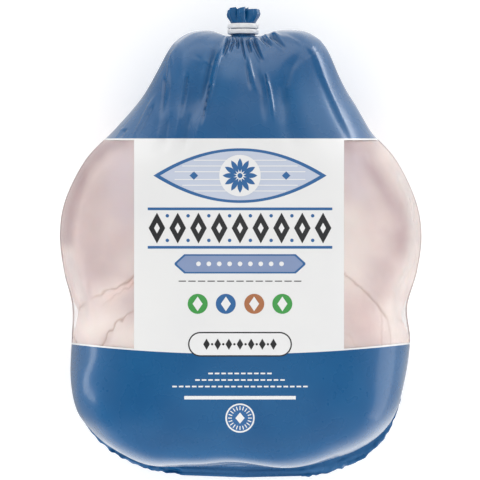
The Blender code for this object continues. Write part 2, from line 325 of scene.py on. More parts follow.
# The gathers round the neck, uneven in spacing, height and length, and faint on the top.
def gathersAt(place, angle):
    around = folds["around"]
    wander = angle + 0.10 * np.sin(3 * angle + 1) + 0.06 * np.sin(5 * angle + 2)
    crest = 1.0 - np.abs(np.sin(0.5 * around["count"] * wander))
    gather = around["height"] * (0.72 + 0.28 * np.sin(7 * angle + 0.7)) * (crest - 0.36)
    gather *= eased(place, 0, around["fullAt"])
    fade = around["goneAt"] * (0.78 + 0.22 * np.sin(5 * angle + 1.9))
    gather *= 1.0 - eased(place, 0.35 * fade, fade)
    return gather * (1.0 - 0.85 * eased(np.sin(angle), -0.4, -0.05))


# The film itself: the tight form with gathers, folds and dents.
def filmSurface(place, angle):
    place, angle = matched(place, angle)
    points = tightForm(place, angle, gathersAt(place, angle))
    normal = outwardAt(place, angle)
    lift = drawnFolds(seenAt(points)) * eased(normal[..., 2], *folds["facing"])
    slack = eased(place, *slackFilm["rise"]) * (1.0 - eased(place, *slackFilm["fall"]))
    x, y = slackFilm["turn"] * np.cos(angle) + place, slackFilm["turn"] * np.sin(angle) - place
    lift += slackFilm["height"] * slack * unevenness(x, y, slackFilm["waveLength"], 5)
    for x, height, spread in endDents["places"]:
        reach = np.exp(-((points[..., 0] - x) ** 2) / (2.0 * spread**2)) * eased(place, *endDents["rise"])
        lift += height * reach * (1.0 - eased(place, *endDents["fall"]))
    roll = endRoll["height"] * bell(place - endRoll["section"], endRoll["spread"])
    lift += roll * eased(np.sin(angle), *endRoll["turn"])
    x, y, z = np.moveaxis(points, -1, 0)
    lift += breastRipple["height"] * eased(place, *breastRipple["rise"]) * unevenness(
        x + z, y - z, breastRipple["waveLength"], 9,
    )
    points = points + normal * lift[..., None]
    points[..., 2] = np.maximum(points[..., 2], 0)
    return points


# Printed borders: how far a point is past the top one and the bottom one, as seen in the photo.
borders = {"top": 52.8, "bottomMiddle": -59.3, "bottomFlank": -54.2, "flankX": 88, "line": 0.85}


def pastTop(points):
    return borders["top"] - seenAt(points)[..., 1]


def pastBottom(points):
    flat = seenAt(points)
    bow = borders["bottomMiddle"] - borders["bottomFlank"]
    edge = borders["bottomMiddle"] - bow * np.minimum((flat[..., 0] / borders["flankX"]) ** 2, 1.1)
    return edge - flat[..., 1]


# The film is laid out once on a fine net, to find where each column meets the borders.
net = {"columns": 720, "rows": 820}
netAngles = np.arange(net["columns"]) * math.tau / net["columns"]
netPlaces = np.linspace(0, lastSection, net["rows"])
netPoints = filmSurface(netPlaces[:, None], netAngles[None, :])
netSteps = np.linalg.norm(np.diff(netPoints, axis=0), axis=-1)
netRun = np.concatenate([np.zeros((1, net["columns"])), np.cumsum(netSteps, axis=0)])


# The place at which each column of the net passes an edge for the last time.
def crossing(measure, offset):
    values = measure(netPoints) - offset
    places = np.zeros(net["columns"])
    for column in range(net["columns"]):
        v = values[:, column]
        row = np.nonzero((v[:-1] < 0) & (v[1:] >= 0))[0][-1]
        places[column] = netPlaces[row] + (netPlaces[1] - netPlaces[0]) * v[row] / (v[row] - v[row + 1])
    return places


neckPlace = np.zeros(net["columns"])
farPlace = np.full(net["columns"], float(lastSection))
topPlace = crossing(pastTop, 0)
clearStart = crossing(pastTop, borders["line"])
clearEnd = crossing(pastBottom, -borders["line"])
bottomPlace = crossing(pastBottom, 0)
print("borders found")


# Places along the bag for each column of the net, evenly spaced over the film between two edges.
def placesBetween(first, last, rows):
    places = np.zeros((rows, net["columns"]))
    for column in range(net["columns"]):
        run = netRun[:, column]
        ends = np.interp([first[column], last[column]], netPlaces, run)
        places[:, column] = np.interp(np.linspace(ends[0], ends[1], rows), run, netPlaces)
    return places


# Reads the places of the net's columns at any angles, row by row.
def placesAtAngles(places, angles):
    turn = np.concatenate([netAngles, [math.tau]])
    closed = np.concatenate([places, places[:, :1]], axis=1)
    return np.stack([
        np.interp(np.mod(angles[row], math.tau), turn, closed[row]) for row in range(len(places))
    ])


def toFrame(points):
    return np.asarray(points, float) * mm + np.array(origin)


# A mesh as a piece of the part, with its material.
def newObject(name, mesh, material):
    piece = bpy.data.objects.new(name, mesh)
    bpy.context.scene.collection.objects.link(piece)
    mesh.materials.clear()
    mesh.materials.append(material)
    mesh.shade_smooth()
    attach(piece, "root")
    return piece


# A mesh from a grid of points. ring closes each row, and a cap is a point that closes an end.
def gridMesh(name, points, ring=True, startCap=None, endCap=None):
    rows, columns = points.shape[:2]
    vertices = toFrame(points).reshape(-1, 3)
    lastColumn = columns if ring else columns - 1
    i, j = np.meshgrid(np.arange(rows - 1), np.arange(lastColumn), indexing="ij")
    k = (j + 1) % columns
    quads = np.stack([i * columns + j, i * columns + k, (i + 1) * columns + k, (i + 1) * columns + j], -1)
    faces = quads.reshape(-1, 4).tolist()
    extra = []
    for capPoint, firstRow, turned in ((startCap, 0, False), (endCap, rows - 1, True)):
        if capPoint is None:
            continue
        centre = len(vertices) + len(extra)
        extra.append(toFrame(capPoint))
        for column in range(columns):
            a, b = firstRow * columns + column, firstRow * columns + (column + 1) % columns
            faces.append([centre, b, a] if not turned else [centre, a, b])
    if extra:
        vertices = np.concatenate([vertices, np.array(extra)])
    mesh = bpy.data.meshes.new(name)
    mesh.from_pydata(vertices.tolist(), [], faces)
    mesh.update()
    return mesh


# Gives an open sheet its thickness as plain mesh, with crisp rims.
def thicken(piece, thickness, offset=-1):
    wall = piece.modifiers.new("thickness", "SOLIDIFY")
    wall.thickness = thickness * mm
    wall.offset = offset
    graph = bpy.context.evaluated_depsgraph_get()
    mesh = bpy.data.meshes.new_from_object(piece.evaluated_get(graph))
    mesh.name = piece.name
    piece.modifiers.clear()
    piece.data = mesh
    mesh.set_sharp_from_angle(angle=math.radians(film["sharpDegrees"]))
    return piece


# A sheet of the bag's film as a finished piece.
def addFilm(name, mesh, material, thickness, offset=-1):
    piece = thicken(newObject(name, mesh, material), thickness, offset)
    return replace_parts(piece, "bag")


# A hex colour as the linear channels that Blender works in.
def linear(hexColour):
    channels = [int(hexColour[i:i + 2], 16) / 255 for i in (1, 3, 5)]
    return [c / 12.92 if c <= 0.04045 else ((c + 0.055) / 1.055) ** 2.4 for c in channels] + [1]


def addNode(tree, kind, settings=None, links=None, **options):
    node = tree.nodes.new(kind)
    for key, value in options.items():
        setattr(node, key, value)
    for key, value in (settings or {}).items():
        node.inputs[key].default_value = value
    for key, socket in (links or {}).items():
        tree.links.new(socket, node.inputs[key])
    return node


# A node of which only the first output is used.
def addStep(tree, kind, links=None, settings=None, **options):
    return addNode(tree, kind, settings, links, **options).outputs[0]


# A sum on numbers or, as a vector sum, on vectors. Each value is a socket, a constant or left out.
def calculate(tree, operation, *values, kind="ShaderNodeMath", output=0):
    node = addNode(tree, kind, operation=operation)
    for socket, value in zip(node.inputs, values):
        if isinstance(value, bpy.types.NodeSocket):
            tree.links.new(value, socket)
        elif value is not None:
            socket.default_value = value
    return node.outputs[output]


def vectorSum(tree, operation, *values, output=0):
    return calculate(tree, operation, *values, kind="ShaderNodeVectorMath", output=output)


def noiseOf(tree, coords, size, detail, **settings):
    settings = {"Scale": 1 / (size * mm), "Detail": detail, **settings}
    return addStep(tree, "ShaderNodeTexNoise", {"Vector": coords}, settings)


def bumpOf(tree, height, strength, distance, normal=None, **options):
    links = {"Height": height, "Normal": normal} if normal else {"Height": height}
    settings = {"Strength": strength, "Distance": distance * mm}
    return addStep(tree, "ShaderNodeBump", links, settings, **options)


def rangeOf(tree, value, fromLow, fromHigh, toLow, toHigh, kind="LINEAR"):
    settings = {"From Min": fromLow, "From Max": fromHigh, "To Min": toLow, "To Max": toHigh}
    return addStep(tree, "ShaderNodeMapRange", {"Value": value}, settings, interpolation_type=kind)


# Stops are the two places and colours of the ramp.
def rampOf(tree, value, stops, kind="EASE"):
    node = addNode(tree, "ShaderNodeValToRGB", links={"Fac": value})
    node.color_ramp.interpolation = kind
    for element, (place, colour) in zip(node.color_ramp.elements, stops):
        element.position = place
        element.color = linear(colour)
    return node.outputs["Color"]


def blendOf(tree, amount, settings, links=None):
    links = {0: amount, **(links or {})}
    return addNode(tree, "ShaderNodeMix", settings, links, data_type="RGBA").outputs[2]


def newMaterial(name):
    material = bpy.data.materials.new(name)
    material.use_nodes = True
    tree = material.node_tree
    tree.nodes.clear()
    return material, tree, addNode(tree, "ShaderNodeTexCoord").outputs["Object"]


def finishMaterial(material, settings, links=None):
    tree = material.node_tree
    shader = addStep(tree, "ShaderNodeBsdfPrincipled", links, settings)
    addNode(tree, "ShaderNodeOutputMaterial", links={"Surface": shader})
    return material


# Printed polyethylene: blown film with ink on it. Satin gloss, faint unevenness of the ink, and
# the slight orange-peel of drawn film that keeps its reflections from being mirror-sharp.
def printedFilm(name, dark, light, roughness):
    material, tree, coords = newMaterial(name)
    cloud = noiseOf(tree, coords, 28, 3)
    haze = noiseOf(tree, coords, 9, 2)
    peel = noiseOf(tree, coords, 3.2, 2)
    links = {
        "Base Color": rampOf(tree, cloud, ((0.25, dark), (0.75, light))),
        "Roughness": rangeOf(tree, haze, 0, 1, roughness - 0.04, roughness + 0.05),
        "Normal": bumpOf(tree, peel, 0.35, 0.08),
    }
    return finishMaterial(material, {"IOR": 1.51, "Coat Weight": 0.6, "Coat Roughness": 0.15}, links)


# Clear polyethylene: the unprinted stretch of the same bag. Nearly invisible face on, with a painted
# whitish sheen where it stands off the skin, a sheen that grows and a tint that darkens at its edge.
def clearPolyethylene():
    material, tree, coords = newMaterial("clearPolyethylene")
    peeled = bumpOf(tree, noiseOf(tree, coords, 5, 2), 0.4, 0.1)
    edge = addNode(tree, "ShaderNodeLayerWeight", {"Blend": 0.5}, {"Normal": peeled}).outputs["Facing"]
    longWay = rangeOf(tree, edge, 0.86, 0.99, 0, 1)
    tint = blendOf(tree, longWay, {6: (0.99, 0.99, 0.99, 1), 7: linear("#c3b2b0")})
    see = addStep(tree, "ShaderNodeBsdfTransparent", {"Color": tint})
    sheen = addStep(
        tree, "ShaderNodeBsdfPrincipled", {"Normal": peeled},
        {"Base Color": linear("#f6f1ef"), "Roughness": 0.14, "IOR": 1.51},
    )
    rising = rangeOf(tree, calculate(tree, "POWER", edge, 4), 0, 1, 0.04, 0.18)
    # This attribute paints a whitish sheen on the film where it bridges the bird's hollows.
    milk = addNode(tree, "ShaderNodeAttribute", attribute_name="milk").outputs["Fac"]
    amount = calculate(tree, "MULTIPLY_ADD", milk, 0.6, rising)
    both = addStep(tree, "ShaderNodeMixShader", {0: amount, 1: see, 2: sheen})
    addNode(tree, "ShaderNodeOutputMaterial", links={"Surface": both})
    return material


# Raw chicken skin: thin, moist and see-through over pink flesh, cream where fat lies under it, with
# painted shade along its outlines and in and beside its creases, and the low pimples of the plucked
# feather tracts.
def rawSkin():
    material, tree, coords = newMaterial("rawSkin")
    mottle = noiseOf(tree, coords, 24, 5, Roughness=0.6)
    colour = rampOf(tree, mottle, ((0.3, "#d3bfbe"), (0.7, "#e2d0cb")))
    # The dark tint paints shade along the outlines and beside the creases, and the brown one paints shade
    # in the creases.
    tints = {
        "dusk": "#ad9394", "cool": "#d2c5cd", "blush": "#e3bdb6", "fat": "#f1e5df", "crease": "#b3968a",
    }
    for name, tint in tints.items():
        amount = addNode(tree, "ShaderNodeAttribute", attribute_name=name).outputs["Fac"]
        colour = blendOf(tree, amount, {7: linear(tint)}, {6: colour})
    pimples = addStep(
        tree, "ShaderNodeTexVoronoi", {"Vector": coords}, {"Scale": 1 / (4.5 * mm), "Randomness": 0.8},
        feature="SMOOTH_F1",
    )
    low = bumpOf(tree, pimples, 0.3, 0.4, invert=True)
    settings = {
        "Roughness": 0.42, "IOR": 1.4, "Subsurface Weight": 0.3, "Subsurface Scale": 3 * mm,
        "Subsurface Radius": (1, 0.45, 0.3),
    }
    fine = bumpOf(tree, noiseOf(tree, coords, 2.4, 4), 0.3, 0.3, low)
    return finishMaterial(material, settings, {"Base Color": colour, "Normal": fine})


# White plastic strip, cut and wound under tension: smooth and hard, a little grey in its scuffs.
def stripPlastic():
    material, tree, coords = newMaterial("stripPlastic")
    scuff = noiseOf(tree, coords, 2.5, 4)
    shade = rampOf(tree, scuff, ((0.35, "#f0f0ef"), (0.6, "#fbfbfa")), "LINEAR")
    links = {"Base Color": shade, "Normal": bumpOf(tree, scuff, 0.3, 0.2)}
    return finishMaterial(material, {"Roughness": 0.28, "IOR": 1.49}, links)


blueFilm = printedFilm("bluePrintedFilm", "#0d5488", "#145c90", 0.27)
whiteFilm = printedFilm("whitePrintedFilm", "#ebebeb", "#eeeeed", 0.30)
clearFilm = clearPolyethylene()
skin = rawSkin()
stripWhite = stripPlastic()
print("materials made")


panel = {"left": -55.1, "right": 54.1}


# The film, cut where its print changes.
def buildFilm():
    cut = {"blueColumns": 400, "windowColumns": 250, "panelColumns": 150, "bandRows": 120}
    even = np.arange(cut["blueColumns"]) * math.tau / cut["blueColumns"]
    topAngles = even + 0.8 * np.cos(even)  # closer together where the folds face up
    pieces = {}
    for name, first, last, rows, material, slot in (
        ("film_leg_end", neckPlace, topPlace, 124, blueFilm, "printed_film"),
        ("film_top_line", topPlace, clearStart, 3, whiteFilm, "white_print"),
        ("film_bottom_line", clearEnd, bottomPlace, 3, whiteFilm, "white_print"),
        ("film_breast_end", bottomPlace, farPlace, 110, blueFilm, "printed_film"),
    ):
        angles = np.broadcast_to(topAngles, (rows, cut["blueColumns"]))
        places = placesAtAngles(placesBetween(first, last, rows), angles)
        points = filmSurface(places, angles)
        cap = bagForm["farEnd"] if name == "film_breast_end" else None
        mesh = gridMesh(name, points, endCap=cap)
        pieces[name] = addFilm(name, mesh, material, film["thickness"])
    bandPlaces = placesBetween(clearStart, clearEnd, cut["bandRows"])
    bandPoints = filmSurface(bandPlaces, np.broadcast_to(netAngles, bandPlaces.shape))
    seenX = seenAt(bandPoints)[..., 0]
    rightEdge = panelEdge(seenX, panel["right"], 0, math.pi / 2)
    leftEdge = panelEdge(seenX, panel["left"], math.pi / 2, math.pi)
    share = np.linspace(0, 1, cut["panelColumns"])
    panelAngles = rightEdge[:, None] + (leftEdge - rightEdge)[:, None] * share
    share = np.linspace(0, 1, cut["windowColumns"])
    windowAngles = leftEdge[:, None] + (rightEdge + math.tau - leftEdge)[:, None] * share
    for name, angles, material, slot in (
        ("film_panel", panelAngles, whiteFilm, "white_print"),
        ("film_window", windowAngles, clearFilm, "clear_film"),
    ):
        points = filmSurface(placesAtAngles(bandPlaces, angles), angles)
        mesh = gridMesh(name, points, ring=False)
        # The window film carries a painted whitish sheen where it bridges the bird's hollows.
        if name == "film_window":
            writeAttribute(mesh, "milk", paintedSheenAt(seenAt(points)))
        pieces[name] = addFilm(name, mesh, material, film["thickness"])
    return pieces


# The angle at which each row of the band crosses an upright edge of the printed panel.
def panelEdge(seenX, edge, low, high):
    picked = np.nonzero((netAngles >= low) & (netAngles <= high))[0]
    return np.array([np.interp(-edge, -row, netAngles[picked]) for row in seenX[:, picked]])


# Where the clear film bridges a hollow of the bird, a whitish sheen is painted on it: path, half width,
# amount.
paintedSheenEnds = (0.4, 0.6)
paintedSheenPaths = (
    ([(-91, 10), (-89.2, -8), (-85.2, -19), (-81.2, -32), (-80.4, -48)], 2.6, 0.34),
    ([(92, 20), (89, -12), (82.6, -26), (81, -58)], 2.8, 0.42),
    ([(72, 52), (88, 24), (92.5, 0), (89, -18)], 3.2, 0.45),
)


def paintedSheenAt(flat):
    milk = np.zeros(flat.shape[:-1])
    for path, halfWidth, amount in paintedSheenPaths:
        distance, share, _ = pathDistance(flat, path)
        milk = np.maximum(milk, amount * fadedEnds(share, *paintedSheenEnds) * bell(distance, halfWidth))
    return milk


# Stores one number a vertex. The caps' vertices, which come last, get the mean.
def writeAttribute(mesh, name, values):
    flatValues = values.reshape(-1)
    padded = np.full(len(mesh.vertices), float(flatValues.mean()))
    padded[: len(flatValues)] = flatValues
    mesh.attributes.new(name, "FLOAT", "POINT").data.foreach_set("value", padded.astype(np.float32))


filmPieces = buildFilm()
print("film made:", len(filmPieces), "pieces")

# The bird's creases, each drawn as it is seen from one side: path, depth, half width, how far the
# skin steps down on the path's left side, how ragged the crease is, and its share of full
# strength at its start and end. Tints are painted along paths too: path, spread, amount.
bird = {
    "rows": (44, 150, 44),  # before, under and past the clear stretch
    "columns": 420,
    "turnStops": (0, 48, 132, 180, 360),  # degrees, with more columns where the windows are
    "turnShares": (0, 0.29, 0.43, 0.72, 1),
    "gap": 0.15,
    "gapUnderPrint": 1.8,
    "lumps": {"height": 0.15, "size": 15},
    "jitterSize": 4.5,
    "creaseEnds": (0.12, 0.88),
    "creaseFacing": (0.05, 0.35),
    "creaseReach": (3, 7),  # how far from its path a crease begins and ends to fade
    "hollowEnds": (0.3, 0.8),
    "hollowFacing": (0, 0.3),
    "tintFacing": (-0.35, 0),
    "creases": {
        "above": [
            ([(-42, -12), (-55.5, -18.9), (-61, -23.4), (-68.4, -26), (-79.8, -31.7)],
             0.6, 0.42, 0.3, 0.8, (1.1, 0.4)),
            ([(-46, -18), (-56.3, -23.1), (-64.1, -28.1), (-72.6, -34.6)],
             0.35, 0.3, 0.15, 0.7, (0.7, 0.2)),
            ([(-44, -30), (-55.5, -36.8), (-65.5, -43.8), (-68.5, -49.1), (-72.3, -55.2), (-74, -62)],
             0.6, 0.45, -0.4, 0.9, (0.3, 1.1)),
            ([(44, -8), (55.1, -18.2), (64.5, -26), (71.8, -33.8), (78, -43)],
             0.35, 0.3, -0.3, 0.3, (0.7, 0.9)),
            ([(73.6, -36), (74, -46), (73.8, -60)], 0.2, 0.3, 0.1, 0.3, (0.3, 0.4)),
            ([(76.4, -38), (79, -50), (77.6, -60)], 0.2, 0.3, 0.1, 0.3, (0.4, 0.3)),
            ([(50, -46), (57, -49), (62, -58)], 0.2, 0.3, 0.1, 0.3, (0.3, 0.2)),
        ],
        "left": [
            ([(-31, 88), (-38, 62), (-40, 38), (-28, 14)], 1, 0.7, 0.6, 0.6, (0.8, 0.8)),
            ([(-58, 84), (-50, 66), (-52, 46), (-62, 30)], 0.8, 0.6, -0.5, 0.6, (0.8, 0.8)),
        ],
        "right": [
            ([(-40, 82), (-42, 62), (-38, 36), (-26, 14)], 1, 0.7, 0.6, 0.6, (0.3, 0.9)),
            ([(-58, 80), (-52, 62), (-54, 44), (-62, 28)], 0.8, 0.6, -0.5, 0.6, (0.8, 0.8)),
        ],
    },
    "hollows": {
        "above": [
            ([(57, 46.8), (70, 36.4), (80.6, 20.8), (88.4, 4)], 1, 6),
            ([(-88, -18), (-86, -34), (-85, -56)], 1.3, 4.5),
            ([(88, -24), (84, -38), (83, -56)], 1.2, 4),
        ],
        "left": [
            ([(-30, 70), (-42, 50), (-46, 24)], 3, 8),
        ],
        "right": [
            ([(-34, 70), (-42, 50), (-46, 24)], 3, 8),
        ],
    },
    "tints": {
        "fat": [
            ([(-54, -50), (-60, -50)], 6, 0.95),
            ([(-50, -8), (-58, -14)], 5, 0.4),
            ([(-62, -24), (-70, -28)], 4, 0.6),
            ([(56, 12), (58, -6), (56, -16)], 7.5, 0.8),
            ([(80, -36), (82, -52)], 4, 0.8),
            ([(76, 44), (91, 20), (93, 0), (88, -20)], 3.6, 0.6),
            ([(-66, -44), (-80, -46)], 6, 0.8),
        ],
        "blush": [
            ([(-57, -22.5), (-68, -29)], 2, 0.7),
            ([(62, -34), (67, -46)], 5, 0.2),
        ],
        # Painted shade along the windows' outlines and beside the creases.
        "dusk": [
            ([(-62, 52), (-71.6, 48.2), (-81.6, 34.8), (-88, 18.6), (-90.2, 0)], 3.3, 1),
            ([(-74, 26), (-80, 4), (-76, -12)], 8, 0.45),
            ([(-66.8, -45), (-70.2, -51.5)], 1.8, 0.85),
            ([(-78.5, -20), (-79.5, -29)], 1.6, 0.35),
            ([(58, 50), (65.2, 41.8), (72.4, 33.9), (78.8, 26.1), (83.1, 17.5), (86, 8), (86.4, -4)],
             5.6, 1),
            ([(76, -14), (74, -27)], 5.5, 0.35),
            ([(78.6, -42), (78, -50)], 1.4, 0.4),
        ],
        "cool": [
            ([(-60, 40), (-59, 16)], 8, 0.6),
            ([(58, 40), (60, 26)], 6, 0.6),
        ],
    },
}


# Each drawn item with the view that it is drawn in.
def drawnFrom(views, drawn):
    return [(views[side], item) for side, items in drawn.items() for item in items]


# Places and angles of the bird's own net.
def birdNet():
    stretches = ((neckPlace, clearStart), (clearStart, clearEnd), (clearEnd, farPlace))
    places = np.concatenate([
        placesBetween(first, last, rows)[:-1] for (first, last), rows in zip(stretches, bird["rows"])
    ])
    share = np.arange(bird["columns"]) / bird["columns"]
    angles = np.radians(np.interp(share, bird["turnShares"], bird["turnStops"]))
    angles = np.broadcast_to(angles, (len(places), bird["columns"]))
    return placesAtAngles(places, angles), angles


# Adds the drawn creases and hollows to the depth. Gives back how strongly each point is creased, for the
# shade painted into the skin's colour along the creases.
def addCreases(depth, views):
    crease = np.zeros(depth.shape)
    for (flat, facing), drawn in drawnFrom(views, bird["creases"]):
        path, deep, halfWidth, step, ragged, strength = drawn
        seed = len(path) + int(abs(path[0][0]))
        jitter = ragged * unevenness(flat[..., 0], flat[..., 1], bird["jitterSize"], seed)
        distance, share, hand = pathDistance(flat, path)
        signed = distance * hand + jitter
        ends = fadedEnds(share, *bird["creaseEnds"]) * eased(facing, *bird["creaseFacing"])
        near = (1.0 - eased(distance, *bird["creaseReach"])) * ends * np.interp(share, (0, 1), strength)
        depth += near * (deep * bell(signed, halfWidth) + step * eased(signed, -0.5, 0.9))
        crease = np.maximum(crease, near * bell(signed, 1.3 * halfWidth))
    for (flat, facing), (path, deep, halfWidth) in drawnFrom(views, bird["hollows"]):
        distance, share, _ = pathDistance(flat, path)
        ends = fadedEnds(share, *bird["hollowEnds"])
        depth += deep * ends * eased(facing, *bird["hollowFacing"]) * bell(distance, halfWidth)
    return crease


def buildBird():
    places, angles = birdNet()
    points = tightForm(places, angles)
    normal = outwardAt(places, angles)
    dented = np.maximum(((points - filmSurface(places, angles)) * normal).sum(-1), 0)
    views = {
        "above": (seenAt(points), normal[..., 2]),
        "left": (points[..., 1:], -normal[..., 0]),
        "right": (points[..., 1:], normal[..., 0]),
    }
    underPrint = 1.0 - eased(pastTop(points), -4, 0) * eased(-pastBottom(points), -4, 0)
    depth = bird["gap"] + (bird["gapUnderPrint"] - bird["gap"] + 0.4 * dented) * underPrint + dented
    crease = addCreases(depth, views)
    x, y, z = np.moveaxis(points, -1, 0)
    lumps = unevenness(x + 0.4 * z, y, bird["lumps"]["size"], 21)
    lumps = bird["lumps"]["height"] * (1.0 + np.clip(lumps, -1, 1))
    depth += lumps * eased(views["above"][1], 0, 0.5)
    depth = np.maximum(depth, dented + 0.6 * bird["gap"])
    skinPoints = points - normal * depth[..., None]
    skinPoints[..., 2] = np.maximum(skinPoints[..., 2], 0.3)
    farCap = np.array(bagForm["farEnd"]) + (0, bird["gapUnderPrint"], 0)
    neckCap = skinPoints[0].mean(axis=0)
    mesh = gridMesh("bird", skinPoints, startCap=neckCap, endCap=farCap)
    flat, facing = views["above"]
    for seed, (name, strokes) in enumerate(bird["tints"].items()):
        amount = np.zeros(points.shape[:-1])
        for path, spread, most in strokes:
            distance, _, _ = pathDistance(flat, path)
            amount = np.maximum(amount, most * np.exp(-((distance / spread) ** 2) / 2))
        amount *= 0.94 + 0.12 * unevenness(flat[..., 0], flat[..., 1], 14, 31 + seed)
        writeAttribute(mesh, name, np.clip(amount * eased(facing, *bird["tintFacing"]), 0, 1))
    # The crease strength also paints shade into the skin's colour in the creases.
    writeAttribute(mesh, "crease", np.clip(crease, 0, 1))
    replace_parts(newObject("bird", mesh, skin), "bag")


buildBird()
print("bird made")

# The sealed edge: two layers of film welded flat, wrinkled as it bends round the breast end.
seam = {
    "firstSection": 15.6, "steps": 520, "across": 16, "inset": 1.2,
    "droop": 0.35, "wave": 1.3, "pucker": 0.85, "thickness": 0.3,
    # its width by where the bag's widest line is along X
    "widths": (
        (-84, 0.4), (-76, 1.5), (-64, 2.3), (-50, 3.3), (-38, 4.3), (-15, 5.8), (23, 5.8),
        (35, 6), (47, 6.5), (60, 6.9), (72, 4.2), (82, 0.8),
    ),
}


def buildSeam():
    share = np.linspace(0, 1, seam["steps"])
    fromEnd = np.abs(share - 0.5) * 2
    places = lastSection - (lastSection - seam["firstSection"]) * fromEnd
    path = tightForm(places, np.where(share < 0.5, math.pi, 0))
    path[fromEnd < 0.004] = bagForm["farEnd"]
    direction = np.gradient(path, axis=0)
    out = np.stack([direction[:, 1], -direction[:, 0], np.zeros(len(path))], -1)
    out /= np.linalg.norm(out, axis=1, keepdims=True)
    swell = np.sin(math.pi * share)
    run = np.concatenate([[0], np.cumsum(np.linalg.norm(np.diff(path, axis=0), axis=1))])
    ragged = 0.35 * unevenness(run, 0 * run, 7, 3) + 0.2 * unevenness(run, 0 * run, 2.6, 4)
    width = np.interp(path[:, 0], *np.array(seam["widths"]).T)
    width = np.maximum(width + ragged * (0.3 + swell), 0.5)
    across = np.linspace(0, 1, seam["across"])
    reach = -seam["inset"] + (width + seam["inset"])[:, None] * across
    loose = across**1.5 * (0.35 + 0.65 * swell)[:, None]
    broad = unevenness(run[:, None], 9 * across, 13, 12)
    fine = unevenness(run[:, None], 6 * across, 5.5, 13)
    height = seam["wave"] * loose * (broad + 0.7 * fine)
    height += seam["pucker"] * swell[:, None] * across * unevenness(0.2 * run[:, None], reach, 2.2, 14)
    points = path[:, None, :] + out[:, None, :] * reach[..., None]
    points[..., 2] += height - seam["droop"] * reach
    mesh = gridMesh("film_seam", points, ring=False)
    addFilm("film_seam", mesh, blueFilm, seam["thickness"], 0)


buildSeam()

# The ruffle above the strip: film gathered into folds between petals that flare out. The tip
# of each petal is a list of how far it stands past the mean, by degrees round the neck.
ruffle = {
    "startY": 105.6, "neckRadius": 6, "stripTop": 112.4, "tipY": 119.3, "rings": 46,
    "columns": 360, "thickness": 0.2, "foldDegrees": (72, 126, 205, 250, 305), "foldWidth": 15,
    "tips": (
        (0, 0.3), (22, 0.6), (40, 0.5), (62, 0.3), (72, -1), (80, 1.6), (98, 1), (118, 0.2), (126, -0.4),
        (134, 1.5), (150, 1), (178, -0.9), (205, -1.4), (228, 0.6), (250, -1), (278, 0.9), (305, -1.2),
        (335, 0.2), (360, 0.3),
    ),
}


# share runs from the neck to the tips. The inner layer is smaller and turned a little.
def rufflePoints(share, angle, scale, turned):
    degrees = np.degrees(angle + turned) % 360
    y = ruffle["startY"] + (ruffle["tipY"] - ruffle["startY"]) * share
    loose = eased(y, ruffle["stripTop"] - 0.8, ruffle["tipY"] - 1.5)
    radius = ruffle["neckRadius"] * (1.0 + 0.45 * loose - 0.10 * eased(share, 0.8, 1))
    deep = 0.04 + 0.42 * loose
    for direction in ruffle["foldDegrees"]:
        off = (degrees - direction + 180) % 360.0 - 180.0
        radius = radius * (1.0 - deep * np.exp(-np.abs(off / ruffle["foldWidth"]) ** 1.3))
    crimp = np.sin(13 * angle + 2.0 * turned) + 0.6 * np.sin(22 * angle + 1)
    radius = scale * radius + 0.22 * (0.3 + loose) * crimp * np.minimum(1, scale)
    tips = np.interp(degrees, *np.array(ruffle["tips"], float).T)
    y = y + loose * tips * eased(share, 0.45, 1)
    return np.stack([
        bagForm["neck"][0] + radius * np.cos(angle),
        np.broadcast_to(y, radius.shape),
        bagForm["neck"][1] + radius * np.sin(angle),
    ], -1)


def buildRuffle():
    angles = np.arange(ruffle["columns"]) * math.tau / ruffle["columns"]
    share = np.linspace(0, 1, ruffle["rings"])
    for name, scale, turned in (("film_ruffle", 1, 0), ("film_ruffle_inner", 0.62, 0.6)):
        points = rufflePoints(share[:, None], angles[None, :], scale, turned)
        mesh = gridMesh(name, points)
        thicken(newObject(name, mesh, blueFilm), ruffle["thickness"])


buildRuffle()
print("seam and ruffle made")

# The strip: nearly two turns round the neck, square to it, stepping up on the underside.
strip = {
    "width": 2.5, "thickness": 1.3, "rounding": 0.5, "lowest": 106.9, "gap": 0.4, "radiusX": 7.4,
    "radiusZ": 7.25, "startDegrees": -55, "endDegrees": 555, "riseFrom": 235, "riseTo": 300,
    "steps": 220, "sharpDegrees": 60,
}


# A tree's inputs, each with its kind and default, and the identifier that each is set by.
def newTree(name, inputs):
    tree = bpy.data.node_groups.new(name, "GeometryNodeTree")
    identifiers = {}
    for inputName, (kind, value) in inputs.items():
        socket = tree.interface.new_socket(inputName, in_out="INPUT", socket_type="NodeSocket" + kind)
        identifiers[inputName] = socket.identifier
        if value is not None:
            socket.default_value = value
    tree.interface.new_socket("Geometry", in_out="OUTPUT", socket_type="NodeSocketGeometry")
    return tree, identifiers, addNode(tree, "NodeGroupInput").outputs


def finishTree(tree, geometry, material):
    coloured = addStep(tree, "GeometryNodeSetMaterial", {"Geometry": geometry, "Material": material})
    addNode(tree, "NodeGroupOutput", links={"Geometry": coloured})


